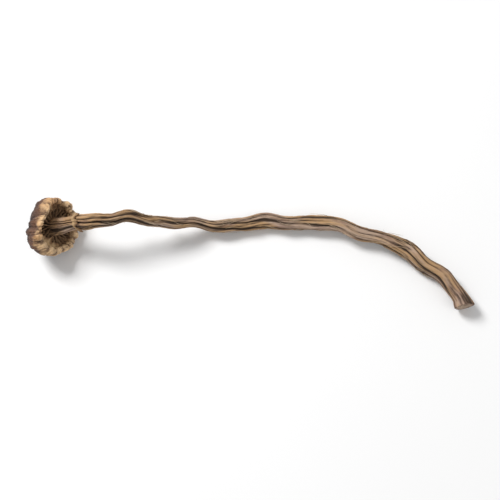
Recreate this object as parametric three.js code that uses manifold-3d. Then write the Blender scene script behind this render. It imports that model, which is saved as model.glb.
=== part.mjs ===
// One dried tea tree mushroom lying on its side, in millimetres, with +Z up.
// The stem runs along +X from the cap, and the origin is under the middle of the whole mushroom.
import * as THREE from "three";
import { mergeVertices } from "three/addons/utils/BufferGeometryUtils.js";
import Module from "manifold-3d";

const wasm = await Module();
wasm.setup();

const { smoothstep } = THREE.MathUtils;
const TURN = 2 * Math.PI;

// Drying leaves everything uneven. Each wave of a table has its size, how fast it runs around,
// how fast it runs along, and its phase. A span has the places where something begins, is full,
// begins to fade and is gone.

// Stem: the middle of each place along it and its mean radius, from inside the cap to the cut base
const STEM = [
  { at: [-54.6, 7.2, 4.5], radius: 1.7 },
  { at: [-50.9, 6.6, 7.5], radius: 2.2 },
  { at: [-44.1, 6.5, 10.7], radius: 1.9 },
  { at: [-35.1, 7.5, 11.2], radius: 1.85 },
  { at: [-25.3, 8.1, 8.2], radius: 1.8 },
  { at: [-14.5, 8.1, 4.2], radius: 1.7 },
  { at: [-3.5, 8.9, 2.2], radius: 1.85 },
  { at: [7.7, 9.7, 2.0], radius: 1.95 },
  { at: [19.1, 8.9, 2.7], radius: 1.8 },
  { at: [30.5, 6.1, 3.4], radius: 1.95 },
  { at: [41.3, 1.3, 3.3], radius: 2.15 },
  { at: [50.5, -5.5, 2.6], radius: 2.35 },
  { at: [56.7, -13.9, 2.4], radius: 2.55 },
];
const STEM_ROWS = 62;
const PLEATS = 8; // shrunken folds that run the length of the stem
const PLEAT_SIDES = 4;
const PLEAT_DEPTH = 0.52;
const PLEAT_FADE = 0.55; // share of that depth that is lost at the tough base
const STEM_TWIST = 3.6; // radians that the pleats turn from the cap to the base
const PLEAT_DEPTHS = [[0.4, 3, 8, 1], [0.35, 2, -13, 2]];
const PLEAT_WIDTHS = [[0.2, 2, 9, 0], [0.12, 3, -14, 1]];
const STEM_SWELLS = [[0.06, 0, 38, 0.5], [0.05, 0, 67, 2]];
const STEM_FULLNESS = 0.12; // the ridges stand this far outside the mean radius
const STEM_FLATNESS = 0.12;
const FLATNESS_CHANGE = [[0.6, 0, 23, 0]];
const FLATNESS_TURN = 5; // radians that the flat sides turn along the stem
const CROOK = 0.42; // how far the stem strays from its smooth run
const CROOKS_SIDEWAYS = [[1, 0, 47, 1], [0.45, 0, 89, 2]];
const CROOKS_UPWARDS = [[0.5, 0, 61, 2.5], [0.3, 0, 97, 0]];
const STRAIGHT_START = { until: 0.1, crooked: 0.2 }; // the run inside the cap is straight
const TOUGH_BASE = { from: 0.85, to: 1 };
const CUT_LEAN = { from: 0.97, to: 1 };
const CUT_SLANT = 1.1; // how far the cut base leans out on one side
const CUT_DISH = 0.6; // the pith dries back further than the rind
const CUT_RINGS = [
  { share: 0.8, dish: 0.1 },
  { share: 0.5, dish: 0.75 },
];

// Cap: its outline as radius and height, from the crown over the rolled margin to the middle of
// the plate that the gills hang from
const CAP_CENTRE = [-51.2, 6.7, 7.35];
const CAP_FACES = [0.812, -0.15, 0.564]; // the way that the underside looks
const CAP_RADIUS = 8.2;
const CAP_OUTLINE = [
  [0, 7.4],
  [2.7, 7.15],
  [5.2, 6.1],
  [7.1, 4.2],
  [8.1, 1.9],
  [8.2, 0],
  [7.6, -1.35],
  [6.6, -1.75],
  [5.75, -1.2],
  [5.55, 0],
  [5.75, 1.2],
  [5.3, 2.4],
  [3.6, 3.1],
  [1.6, 2.9],
  [0, 2.8],
];
const CAP_ROWS = 21;
const CAP_PLATE_ROWS = 3;
const CAP_PLATE = 0.8; // place along the outline where the plate over the gills begins
const CAP_SIDES = 66;
const CAP_OVAL = [[0.06, 2, 0, 2.171], [0.04, 3, 0, 0.571], [0.025, 5, 0, 3.771]];
const CAP_WARP = [[0.75, 2, 0, 1.9], [0.45, 3, 0, 0.4], [0.22, 7, 0, 1]];
const FURROWS = 13; // folds that run out from the crown to the margin
const FURROW_DEPTH = 0.75;
const FURROW_SPAN = [0.04, 0.22, 0.42, 0.66];
const FURROW_FULLNESS = 0.65; // share of that depth that the mean furrow has
const FURROW_DEPTHS = [[0.35, 3, 0, 2]];
const FURROW_WANDER = [[1.6, 2, 0, 1], [1.1, 3, 9, 0]];
const MARGIN_PLEATS = 19;
const MARGIN_PLEAT_DEPTH = 0.28;
const MARGIN_PLEAT_SPAN = [0.32, 0.42, 0.64, 0.74];
const MARGIN_PLEAT_WANDER = [[1.4, 3, 0, 0], [0.8, 5, 6, 0]];
const CROWN_WRINKLE = 0.45;
const CROWN_WRINKLE_FADE = { from: 0.1, to: 0.3 };
const CROWN_WRINKLES_ACROSS = 44; // how fast their phase runs over the crown, and where it starts
const CROWN_WRINKLE_PHASE = 1;
const CROWN_WRINKLE_WANDER = [[1.6, 22, 0, 0]];
const DENT_WIDTH = 0.26;
const DENT_LENGTH = 0.11;
const DENTS = [
  { angle: 1.9, v: 0.29, depth: 1.2 },
  { angle: 4.4, v: 0.2, depth: 0.8 },
  { angle: 0.3, v: 0.33, depth: 0.7 },
];

// Gills, hung under the plate between the stem and the rolled margin
const GILL_PAIRS = 12; // one long gill and one short gill each
const GILL_THICKNESS = 0.6;
const GILL_LONG = { inner: 1.3, outer: 5.95 };
const GILL_SHORT = { inner: 3.7, outer: 5.95 };
const GILL_EDGE = 0.35; // height of the free edge in the cap's frame
const GILL_RISE = 0.5; // the free edge rises this much towards the stem
const GILL_ROOT = 3.2;
const GILL_SWAY = 0.22;
const GILL_BENDS = 1.6; // half turns of the sway along a gill
const GILL_SPACING = [[0.12, 5, 0, 0]];
const GILL_STEPS = 3;

// Veil: torn flaps of the skin that once closed the cap, in radians round it
const VEIL_FLAPS = [
  { from: 0.5, to: 1.5, reach: 1.7 },
  { from: 2.3, to: 3.7, reach: 2.1 },
  { from: 4.9, to: 5.7, reach: 1.4 },
];
const VEIL_THICKNESS = 0.6;
const VEIL_OUTER = 6.3;
const VEIL_ROOT = 0.6; // how far in the margin's lip carries it before it can tear
const VEIL_STEPS = 14;
const VEIL_TEARS = [[0.2, 9, 0, 1], [0.15, 17, 0, 2]];
const VEIL_FULLNESS = 0.75;
const VEIL_SAG = [[0.35, 6, 0, 0]];
// Section of a flap: share of its reach, and height in the cap's frame before its sag
const VEIL_SECTION = [
  { share: 0, height: -0.5 },
  { share: 0.5, height: -0.1 },
  { share: 1, height: -0.35 },
];

// Ring: a shrunken collar on the stem where the veil tore away
const RING_AT = 0.142; // place along the stem, from 0 to 1
const RING_LENGTH = 0.02;
const RING_FLARE = 0.45;
const RING_SIDES = 48;
const RING_FRILL = [[0.22, 5, 0, 1], [0.16, 8, 0, 0]];
const RING_FOLDING = 0.4; // it follows the stem's pleats this far and bridges the rest
// Section of the ring: share of its length, and height over the stem's skin
const RING_SECTION = [
  { share: 0, lift: -0.9 },
  { share: 0.15, lift: -0.2 },
  { share: 0.5, lift: 0 },
  { share: 1, lift: 0.1 },
  { share: 1, lift: -0.5 },
  { share: 0.5, lift: -0.9 },
];

// Sum of a table of waves
function ripple(waves, around, along = 0) {
  return waves.reduce(
    (sum, [size, turns, climbs, phase]) => sum + size * Math.sin(turns * around + climbs * along + phase),
    0,
  );
}

// 0 outside a span, 1 in its full stretch, and an S at either end of that
function within([start, full, fading, end], place) {
  return smoothstep(place, start, full) * (1 - smoothstep(place, fading, end));
}

// A sharp valley at every whole turn of the phase, and a round ridge between:
// 0 on the ridge, 1 in the valley
function valley(phase) {
  return 1 - Math.abs(Math.sin(phase / 2)) ** 0.8;
}

function middleOf(points) {
  const sum = points.reduce((total, point) => total.add(point), new THREE.Vector3());
  return sum.divideScalar(points.length);
}

// Geometry of rings in a row, closed by a point at both ends
function loft(rings, first, last) {
  const sides = rings[0].length;
  const points = [...rings.flat(), first, last];
  const start = points.length - 2;
  const faces = [];
  for (let side = 0; side < sides; side++) {
    const next = (side + 1) % sides;
    faces.push(start, next, side);
    for (let row = 0; row + 1 < rings.length; row++) {
      const here = row * sides;
      const beyond = here + sides;
      faces.push(here + side, here + next, beyond + next);
      faces.push(here + side, beyond + next, beyond + side);
    }
    const rim = (rings.length - 1) * sides;
    faces.push(start + 1, rim + side, rim + next);
  }
  return new THREE.BufferGeometry().setFromPoints(points).setIndex(faces);
}

// What lies below the floor is pressed flat onto it, which makes the small flats
// that the mushroom rests on
function pressedOnFloor(point) {
  point.z = Math.max(point.z, 0);
  return point;
}

// A closed geometry as a solid that can be joined and cut
function solidOf(geometry) {
  const bare = geometry.clone();
  bare.deleteAttribute("normal");
  bare.deleteAttribute("uv");
  const merged = mergeVertices(bare, 1e-4);
  return new wasm.Manifold(
    new wasm.Mesh({
      numProp: 3,
      vertProperties: new Float32Array(merged.attributes.position.array),
      triVerts: new Uint32Array(merged.index.array),
    }),
  );
}

function geometryOf(solid) {
  const mesh = solid.getMesh();
  const geometry = new THREE.BufferGeometry();
  geometry.setAttribute("position", new THREE.BufferAttribute(mesh.vertProperties, 3));
  geometry.setIndex(new THREE.BufferAttribute(mesh.triVerts, 1));
  geometry.computeVertexNormals();
  return geometry;
}

const spine = new THREE.CatmullRomCurve3(
  STEM.map((place) => new THREE.Vector3(...place.at)),
  false,
  "catmullrom",
  0.5,
);
const girth = new THREE.CatmullRomCurve3(
  STEM.map((place) => new THREE.Vector3(place.radius, 0, 0)),
  false,
  "catmullrom",
  0.5,
);

// Middle of the stem at t, with the small crooks that drying gives it, and the directions across it
function stemFrame(t) {
  const middle = spine.getPoint(t);
  const along = spine.getTangent(t);
  const across = new THREE.Vector3(0, 0, 1).cross(along).normalize();
  const over = along.clone().cross(across);
  const crook = CROOK * smoothstep(t, STRAIGHT_START.until, STRAIGHT_START.crooked);
  middle.addScaledVector(across, crook * ripple(CROOKS_SIDEWAYS, 0, t));
  middle.addScaledVector(over, crook * ripple(CROOKS_UPWARDS, 0, t));
  return { middle, along, across, over };
}

// Pleat angle u as the true angle around the stem, with pleats of uneven width that twist along it
function stemAngle(t, u) {
  return u + ripple(PLEAT_WIDTHS, u, t) + STEM_TWIST * t;
}

// How far the stem's skin is from its middle at t on pleat angle u: swellings along it, folds of
// uneven depth around it, and two flattened sides. With less folding it bridges the pleats.
function stemReach(t, u, folding = 1) {
  const full = girth.getPoint(t).x * (1 + ripple(STEM_SWELLS, 0, t)) + STEM_FULLNESS;
  const tough = 1 - PLEAT_FADE * smoothstep(t, TOUGH_BASE.from, TOUGH_BASE.to);
  const depth = PLEAT_DEPTH * tough * (1 + ripple(PLEAT_DEPTHS, u, t));
  const flatness = STEM_FLATNESS * (1 + ripple(FLATNESS_CHANGE, 0, t));
  const flat = 1 + flatness * Math.cos(2 * (stemAngle(t, u) - FLATNESS_TURN * t));
  return (full - folding * depth * valley(PLEATS * u)) * flat;
}

// A place by its distance from the stem's middle, on pleat angle u, pushed along the stem
function stemPoint(t, u, reach, push = 0) {
  const { middle, along, across, over } = stemFrame(t);
  const angle = stemAngle(t, u);
  return middle
    .addScaledVector(across, reach * Math.cos(angle))
    .addScaledVector(over, reach * Math.sin(angle))
    .addScaledVector(along, push);
}

function stemGeometry() {
  const sides = PLEATS * PLEAT_SIDES;
  const ring = (t, share, dish) => {
    const slant = share * CUT_SLANT * smoothstep(t, CUT_LEAN.from, CUT_LEAN.to);
    return Array.from({ length: sides }, (_, side) => {
      const u = (side / sides) * TURN;
      const push = slant * Math.cos(stemAngle(t, u)) - dish * CUT_DISH;
      return pressedOnFloor(stemPoint(t, u, share * stemReach(t, u), push));
    });
  };
  const rows = Array.from({ length: STEM_ROWS + 1 }, (_, row) => ring(row / STEM_ROWS, 1, 0));
  const base = CUT_RINGS.map(({ share, dish }) => ring(1, share, dish));
  const { middle, along } = stemFrame(1);
  const pith = middle.addScaledVector(along, -CUT_DISH);
  return loft([...rows, ...base], stemFrame(0).middle, pith);
}

const facing = new THREE.Vector3(...CAP_FACES).normalize();
const capSide = new THREE.Vector3(0, 0, 1).cross(facing).normalize();
const capUp = facing.clone().cross(capSide);

// A place in the cap's frame, by radius, angle and height towards the crown, on the shrunken,
// uneven cap
function capPoint(radius, angle, height) {
  const edge = radius / CAP_RADIUS;
  const reach = radius * (1 + edge * ripple(CAP_OVAL, angle));
  return new THREE.Vector3(...CAP_CENTRE)
    .addScaledVector(capSide, reach * Math.cos(angle))
    .addScaledVector(capUp, reach * Math.sin(angle))
    .addScaledVector(facing, -height - edge * edge * ripple(CAP_WARP, angle));
}

const outline = new THREE.SplineCurve(CAP_OUTLINE.map((place) => new THREE.Vector2(...place)));

// Long furrows on the flanks of the cap, at v along its outline
function furrows(v, angle) {
  const uneven = FURROW_FULLNESS + ripple(FURROW_DEPTHS, angle);
  const folds = valley(FURROWS * angle + ripple(FURROW_WANDER, angle, v));
  return FURROW_DEPTH * within(FURROW_SPAN, v) * uneven * folds;
}

// Short pleats across the rolled margin
function marginPleats(v, angle) {
  const folds = valley(MARGIN_PLEATS * angle + ripple(MARGIN_PLEAT_WANDER, angle, v));
  return MARGIN_PLEAT_DEPTH * within(MARGIN_PLEAT_SPAN, v) * folds;
}

// Crossed wrinkles on the crown
function crownWrinkles(v, angle) {
  const [x, y] = [v * Math.cos(angle), v * Math.sin(angle)];
  const wander = ripple(CROWN_WRINKLE_WANDER, y) + CROWN_WRINKLE_PHASE;
  const folds = valley(CROWN_WRINKLES_ACROSS * x + wander);
  return CROWN_WRINKLE * (1 - smoothstep(v, CROWN_WRINKLE_FADE.from, CROWN_WRINKLE_FADE.to)) * folds;
}

// Hollows where the dome has fallen in
function dents(v, angle) {
  return DENTS.reduce((sum, dent) => {
    const turn = Math.sin((angle - dent.angle) / 2) / DENT_WIDTH;
    const slide = (v - dent.v) / DENT_LENGTH;
    return sum + dent.depth * Math.exp(-turn * turn - slide * slide);
  }, 0);
}

// How far the cap's skin sinks at v along its outline
function capFold(v, angle) {
  return furrows(v, angle) + marginPleats(v, angle) + crownWrinkles(v, angle) + dents(v, angle);
}

function capGeometry() {
  const rings = [];
  for (let row = 1; row < CAP_ROWS + CAP_PLATE_ROWS; row++) {
    const beyond = Math.max(row - CAP_ROWS, 0) / CAP_PLATE_ROWS;
    const v = (Math.min(row, CAP_ROWS) / CAP_ROWS) * CAP_PLATE + beyond * (1 - CAP_PLATE);
    const place = outline.getPoint(v);
    const slope = outline.getTangent(v);
    const ring = [];
    for (let side = 0; side < CAP_SIDES; side++) {
      const angle = (side / CAP_SIDES) * TURN;
      const fold = capFold(v, angle);
      const point = capPoint(place.x + slope.y * fold, angle, place.y - slope.x * fold);
      ring.push(pressedOnFloor(point));
    }
    rings.push(ring);
  }
  const crown = capPoint(0, 0, outline.getPoint(0).y);
  return loft(rings, crown, capPoint(0, 0, outline.getPoint(1).y));
}

// One gill: an upright blade of even thickness that sways a little, hung from the plate at this angle
function gillGeometry(angle, { inner, outer }, sway) {
  const rings = Array.from({ length: GILL_STEPS + 1 }, (_, step) => {
    const share = step / GILL_STEPS;
    const radius = inner + (outer - inner) * share;
    const drift = sway * Math.sin(share * Math.PI * GILL_BENDS);
    const edge = GILL_EDGE + GILL_RISE * (1 - share) ** 2;
    const corner = (side, height) => {
      const offset = drift + (side * GILL_THICKNESS) / 2;
      return capPoint(radius, angle + offset / radius, height);
    };
    return [corner(-1, edge), corner(-1, GILL_ROOT), corner(1, GILL_ROOT), corner(1, edge)];
  });
  return loft(rings, middleOf(rings[0]), middleOf(rings[GILL_STEPS]));
}

function gills() {
  return Array.from({ length: GILL_PAIRS }, (_, pair) => {
    const angle = ((pair + ripple(GILL_SPACING, pair)) / GILL_PAIRS) * TURN;
    const between = angle + (0.5 / GILL_PAIRS) * TURN;
    return [
      gillGeometry(angle, GILL_LONG, GILL_SWAY * Math.sin(3 * pair + 1)),
      gillGeometry(between, GILL_SHORT, GILL_SWAY * Math.sin(4 * pair)),
    ];
  }).flat();
}

// One flap of the torn veil: a thin strip that hangs in from the rolled margin, with a ragged edge
function veilGeometry(flap) {
  const rings = Array.from({ length: VEIL_STEPS + 1 }, (_, step) => {
    const share = step / VEIL_STEPS;
    const angle = flap.from + (flap.to - flap.from) * share;
    const whole = Math.sin(share * Math.PI) ** 0.5;
    const torn = VEIL_FULLNESS + ripple(VEIL_TEARS, angle);
    const reach = VEIL_ROOT + flap.reach * whole * torn;
    const sag = ripple(VEIL_SAG, angle);
    const layer = (thickness) =>
      VEIL_SECTION.map(({ share: inwards, height }) =>
        capPoint(VEIL_OUTER - inwards * reach, angle, height + inwards * sag + thickness),
      );
    return [...layer(0), ...layer(VEIL_THICKNESS).reverse()].reverse();
  });
  return loft(rings, middleOf(rings[0]), middleOf(rings[VEIL_STEPS]));
}

// The ring: a frilled cuff round the stem, sunk into it along its upper edge
function ringGeometry() {
  const rings = RING_SECTION.map(({ share, lift }) =>
    Array.from({ length: RING_SIDES }, (_, side) => {
      const u = (side / RING_SIDES) * TURN;
      const frill = 1 + ripple(RING_FRILL, u);
      const t = RING_AT + RING_LENGTH * share * frill;
      const flare = RING_FLARE * share * share * frill;
      return stemPoint(t, u, stemReach(t, u, RING_FOLDING) + lift + flare);
    }),
  );
  return band(rings);
}

// Geometry of a band whose rings join end to end, such as a cuff
function band(rings) {
  const sides = rings[0].length;
  const faces = [];
  rings.forEach((ring, row) => {
    const here = row * sides;
    const beyond = ((row + 1) % rings.length) * sides;
    for (let side = 0; side < sides; side++) {
      const next = (side + 1) % sides;
      faces.push(here + side, here + next, beyond + next);
      faces.push(here + side, beyond + next, beyond + side);
    }
  });
  return new THREE.BufferGeometry().setFromPoints(rings.flat()).setIndex(faces);
}

// The mushroom grew as one piece, so its cap, gills, veil, ring and stem are joined in one solid
let whole = solidOf(capGeometry());
for (const piece of [stemGeometry(), ...gills(), ...VEIL_FLAPS.map(veilGeometry), ringGeometry()]) {
  whole = whole.add(solidOf(piece));
}

const mushroom = new THREE.Mesh(
  geometryOf(whole),
  new THREE.MeshStandardMaterial({ color: 0xb0916c, roughness: 0.75, metalness: 0 }),
);
mushroom.name = "mushroom";

const part = new THREE.Group();
part.add(mushroom);

export default part;
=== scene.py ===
"""One dried tea tree mushroom lying on a pale floor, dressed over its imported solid."""

import math
from functools import partialmethod
from typing import NamedTuple

import bpy
import numpy as np
from bpy.props import FloatProperty, FloatVectorProperty, IntProperty, PointerProperty
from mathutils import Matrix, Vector


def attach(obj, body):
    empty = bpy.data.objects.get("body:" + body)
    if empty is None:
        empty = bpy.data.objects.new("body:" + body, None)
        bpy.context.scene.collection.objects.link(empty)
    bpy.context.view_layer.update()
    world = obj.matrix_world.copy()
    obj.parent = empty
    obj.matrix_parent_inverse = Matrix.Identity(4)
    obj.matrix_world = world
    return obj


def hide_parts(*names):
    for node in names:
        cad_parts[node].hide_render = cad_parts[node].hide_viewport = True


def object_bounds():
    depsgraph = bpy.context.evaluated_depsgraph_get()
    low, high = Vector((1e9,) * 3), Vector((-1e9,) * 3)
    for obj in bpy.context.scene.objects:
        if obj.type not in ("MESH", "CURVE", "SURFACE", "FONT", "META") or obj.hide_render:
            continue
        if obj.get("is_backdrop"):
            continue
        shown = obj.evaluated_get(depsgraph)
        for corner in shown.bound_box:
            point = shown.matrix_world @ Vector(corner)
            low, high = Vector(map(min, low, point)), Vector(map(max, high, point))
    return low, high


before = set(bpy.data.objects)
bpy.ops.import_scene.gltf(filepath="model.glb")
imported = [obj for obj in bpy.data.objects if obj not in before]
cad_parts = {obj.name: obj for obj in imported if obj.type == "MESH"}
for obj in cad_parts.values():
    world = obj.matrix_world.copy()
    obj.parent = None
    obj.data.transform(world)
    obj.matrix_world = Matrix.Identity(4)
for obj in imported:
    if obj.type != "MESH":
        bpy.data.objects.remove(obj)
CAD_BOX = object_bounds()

bl_info = {
    "name": "Dried Tea Tree Mushroom",
    "version": (1, 0, 0),
    "blender": (4, 5, 0),
    "location": "3D View > Sidebar > Mushroom",
    "description": "Builds a dried mushroom piece by piece, and the stage that it lies on",
    "category": "Add Mesh",
}

# Lengths are in mm in every table and node tree here, and in metres once a point has its place
MM = 0.001
WELD = 2e-7
SLIGHT = 1e-3  # more than rounding adds to a row or a share
BODY = "root"
SOLID = "mushroom"
UP = (0, 0, 1)


class Cloud(NamedTuple):
    """A noise pattern: how fast it runs, alike each way or along x, y and z, its detail and roughness."""

    run: float | tuple
    detail: float = 3.0
    roughness: float = 0.55


# Drying leaves everything uneven. Each wave of a table has its size, how fast it runs around, how
# fast it runs along, and its phase. A span has the places where something begins, is full, begins
# to fade and is gone.

# Stem: the middle of each place along it and its mean radius, from inside the cap to the cut base
STEM = [
    ((-54.6, 7.2, 4.5), 1.7),
    ((-50.9, 6.6, 7.5), 2.2),
    ((-44.1, 6.5, 10.7), 1.9),
    ((-35.1, 7.5, 11.2), 1.85),
    ((-25.3, 8.1, 8.2), 1.8),
    ((-14.5, 8.1, 4.2), 1.7),
    ((-3.5, 8.9, 2.2), 1.85),
    ((7.7, 9.7, 2.0), 1.95),
    ((19.1, 8.9, 2.7), 1.8),
    ((30.5, 6.1, 3.4), 1.95),
    ((41.3, 1.3, 3.3), 2.15),
    ((50.5, -5.5, 2.6), 2.35),
    ((56.7, -13.9, 2.4), 2.55),
]
STEM_ROWS = 560
STEM_LENGTH = 122.0
PLEATS = 8
RIDGE_ROUNDNESS = 0.8
PLEAT_FADE = 0.55  # share of the pleats' depth that is lost at the tough base
PLEAT_DEPTHS = [(0.4, 3, 8, 1), (0.35, 2, -13, 2)]
PLEAT_WIDTHS = [(0.2, 2, 9, 0), (0.12, 3, -14, 1)]
STEM_SWELLS = [(0.06, 0, 38, 0.5), (0.05, 0, 67, 2)]
STEM_FULLNESS = 0.12  # the ridges stand this far outside the mean radius
FLATNESS_CHANGE = [(0.6, 0, 23, 0)]
FLATNESS_TURN = 5.0
CROOK = 0.42
CROOKS_SIDEWAYS = [(1, 0, 47, 1), (0.45, 0, 89, 2)]
CROOKS_UPWARDS = [(0.5, 0, 61, 2.5), (0.3, 0, 97, 0)]
STRAIGHT_START = (0.1, 0.2)
TOUGH_BASE = (0.85, 1.0)
CUT_LEAN = (0.97, 1.0)

# The stem's skin as a band 2 mm in radius, where its creases and fibres run
SKIN_RADIUS = 2.0
STEM_CREASES = Cloud((0.8, 0.8, 0.055), 2.0)
STEM_FINE_CREASES = Cloud((2.3, 2.3, 0.2), 2.0)
STEM_ROUGHNESS = Cloud((1.4, 1.4, 0.7), 4.0)
STEM_ROUGH_DEPTH = 0.16
CREASE_WIDTH = 0.08
FINE_CREASE_WIDTH = 0.1
# The pleats and creases are darkened partly in their own darker colour and partly by painted shade
STEM_SHADES = (0.7, 0.45, 0.25)  # how dark the pleats, the creases and the fine creases are

# The cut base: its torn pith dries back further than the rind, more so in the middle
DISH_ROWS = 16
DISH_SLOPE = (0.05, 0.6)
DISH_MIDDLE = 0.8
DISH_MIDDLE_SLOPE = (0.65, 0.9)
DISH_TORN = (0.0, 0.2, 0.9, 1.0)
DISH_TEARS = Cloud(2.2, 4.0)
DISH_TEAR_DEPTH = 0.9
DISH_CRACKS = Cloud(0.9, 3.0)
DISH_CRACK_DEPTH = 0.35

# Loose fibres that have peeled off the ridges: each is rooted in the skin and lifts off towards its tip
FIBRE_STEPS = (16, 3, 3)
FIBRE_MIDDLE = 0.55  # the middle of the stretch that they're rooted on, and half its length
FIBRE_SPREAD = 0.34
FIBRE_OFF_RIDGE = 0.3
FIBRE_SINK = 0.1
FIBRE_FREE = 0.35  # from this share of its length on, a fibre bridges the creases of the skin
FIBRE_DRIFT = 0.5
FIBRE_TAPER = 0.8
FIBRE_ROOT = (0.25, 0.3)  # share of its thickness that a fibre starts with, and where it has all of it
FIBRE_SHORTEST = 0.3  # share of the full length and lift that the least of them has

# Cap: its outline as radius and height, from the crown over the rolled margin to the middle of the
# plate that the gills hang from
CAP_CENTRE = (-51.2, 6.7, 7.35)
CAP_FACES = (0.812, -0.15, 0.564)
CAP_RADIUS = 8.2
CAP_OUTLINE = [
    (0.0, 7.4),
    (2.7, 7.15),
    (5.2, 6.1),
    (7.1, 4.2),
    (8.1, 1.9),
    (8.2, 0.0),
    (7.6, -1.35),
    (6.6, -1.75),
    (5.75, -1.2),
    (5.55, 0.0),
    (5.75, 1.2),
    (5.3, 2.4),
    (3.6, 3.1),
    (1.6, 2.9),
    (0.0, 2.8),
]
CAP_ROWS = 200
CAP_POLE = 0.5  # nearer than this to the middle, the skin sinks along the cap's axis alone
CAP_OVAL = [(0.06, 2, 0, 2.171), (0.04, 3, 0, 0.571), (0.025, 5, 0, 3.771)]
CAP_WARP = [(0.75, 2, 0, 1.9), (0.45, 3, 0, 0.4), (0.22, 7, 0, 1)]
FURROWS = 13
FURROW_SPAN = (0.04, 0.22, 0.42, 0.66)
FURROW_FULLNESS = 0.65
FURROW_DEPTHS = [(0.35, 3, 0, 2)]
FURROW_WANDER = [(1.6, 2, 0, 1), (1.1, 3, 9, 0)]
MARGIN_PLEATS = 19
MARGIN_PLEAT_SPAN = (0.32, 0.42, 0.64, 0.74)
MARGIN_PLEAT_WANDER = [(1.4, 3, 0, 0), (0.8, 5, 6, 0)]
CROWN_WRINKLE_FADE = (0.1, 0.3)
CROWN_WRINKLES_ACROSS = 44.0
CROWN_WRINKLE_PHASE = 1.0
CROWN_WRINKLE_WANDER = [(1.6, 22, 0, 0)]
DENT_WIDTH = 0.26
DENT_LENGTH = 0.11
DENTS = [(1.9, 0.29, 1.2), (4.4, 0.2, 0.8), (0.3, 0.33, 0.7)]  # angle, place on the outline and depth
DENT_START = (0.0, 0.06)

# The cap's skin, whose creases run out from the crown and calm down on the margin
CAP_INSIDE = (0.6, 0.72)
CAP_SPOKES = (3.4, 3.4, 5.5)
CAP_CREASES = Cloud(1.0, 2.0)
CAP_CRAZING = Cloud((0.9, 0.9, 0.36), 2.0)
CAP_FINE_CREASES = Cloud((3.0, 3.0, 0.5), 2.0)
CAP_GRAIN = Cloud(2.4)
CAP_GRAIN_DEPTH = 0.1
CRAZING_WIDTH = 0.12
CREASE_START = (0.05, 0.2)
MARGIN_CALM = 0.45
MARGIN_START = (0.3, 0.42)
CROWN_MIDDLE = (0.01, 0.09)  # where the streaks that run together at the crown's middle have faded out
# How dark each hollow of the cap is painted: partly its own darker colour and partly painted shade
CAP_SHADES = (0.7, 0.5, 0.55, 0.4, 0.3, 0.35)  # furrows, pleats, wrinkles, creases, crazing, fine creases

# Gills: of every four the first is long, the third is middling and the other two are short
GILL_STEPS = (26, 2, 6)
GILL_INNER = 3.22
GILL_OUTER = 5.9
GILL_LENGTHS = [(0.85, math.pi / 2, 0, -math.pi / 2), (1.07, math.pi, 0, -math.pi / 2)]
GILL_LENGTH_CHANCE = 0.25
GILL_TURN_CHANCE = 0.16
GILL_ROOT = 3.15
GILL_EDGE = 0.35
GILL_RISE = 0.5
GILL_LONGEST = 1.3
GILL_SHORT_RISE = 0.3
GILL_EDGE_WAVES = [(0.08, 6, 1, 0)]
GILL_NICKS = Cloud(2.2, 3.0, 0.65)
GILL_NICK_DEPTH = 0.3
GILL_SWAY = 0.16
GILL_BEND = 5.0
GILL_RIPPLES = [(0.07, 4.2, 2.1, 0)]
GILL_TAPER = 0.55

# Veil: torn flaps of the skin that once closed the cap, from and to in radians round it, and how
# far each reaches in
VEIL_FLAPS = [(0.5, 1.5, 1.7), (2.3, 3.7, 2.1), (4.9, 5.7, 1.4)]
VEIL_STEPS = (110, 26, 5)
VEIL_OUTER = 6.3
VEIL_ROOT = 0.6
VEIL_FULLNESS = 0.75
VEIL_TEARS = [(0.2, 9, 0, 1), (0.15, 17, 0, 2)]
VEIL_SHREDS = Cloud((1.1, 1.1, 0.1), 4.0, 0.7)
VEIL_SHRED_LENGTH = 1.3
VEIL_SAG = [(0.35, 6, 0, 0)]
VEIL_HEIGHT = -0.5
VEIL_ARCH = 1.6
VEIL_LIFT = 0.15
VEIL_CRUMPLES = Cloud(1.6, 4.0)
VEIL_CRUMPLE_RUN = (5.0, 2.2)
VEIL_CRUMPLE_DEPTH = 0.5

# Ring: a shrunken collar on the stem where the veil tore away
RING_ROWS = 40
RING_SIDES = 320
RING_AT = 0.142
RING_LENGTH = 0.02
RING_FRILL = [(0.22, 5, 0, 1), (0.16, 8, 0, 0)]
RING_FOLDING = 0.4  # it follows the stem's pleats this far and bridges the rest
RING_THICKNESS = 0.28
RING_LIFT = -0.2
RING_ROOT = 0.7
RING_BAND = 2.0
RING_TEARS = Cloud(1.3, 4.0, 0.65)
RING_TEAR_LENGTH = 1.1
RING_CRIMPS = Cloud(2.2)
RING_CRIMP_DEPTH = 0.5

# Colour clouds of the stem, on its skin, and of its cut base. A start is where a cloud is read from,
# so that it doesn't repeat the folds of another.
RIND_FIBRES = Cloud((5.0, 5.0, 0.35), 5.0, 0.62)
RIND_STREAKS = Cloud((1.6, 1.6, 0.12))
RIND_STAINS = Cloud((0.5, 0.5, 0.16))
RIND_PATCHES = Cloud((0.3, 0.3, 0.08), 2.0)
RIND_PATCHES_START = (23.0, 10.0, 62.0)
RIND_ENDS = [(0.6, 0.86, 1.0), (0.4, 0.2, 0.08)]  # how stained the stem's two ends are, and where
PITH_FIBRES = Cloud(3.4, 4.0, 0.6)
PITH_CLOUDS = Cloud(0.7, 2.0)

# Colour clouds of the cap, of which the streaks and russet patches run out from the crown
CAP_CLOUDS = Cloud(0.3, 4.0)
CAP_PORES = Cloud(2.2, 5.0, 0.65)
CAP_STREAKS = Cloud((3.2, 3.2, 1.2), 4.0, 0.6)
CAP_RUSSET = Cloud((0.5, 0.5, 0.4), 2.0)
CAP_RUSSET_START = (6.0, 2.0, 20.0)

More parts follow.
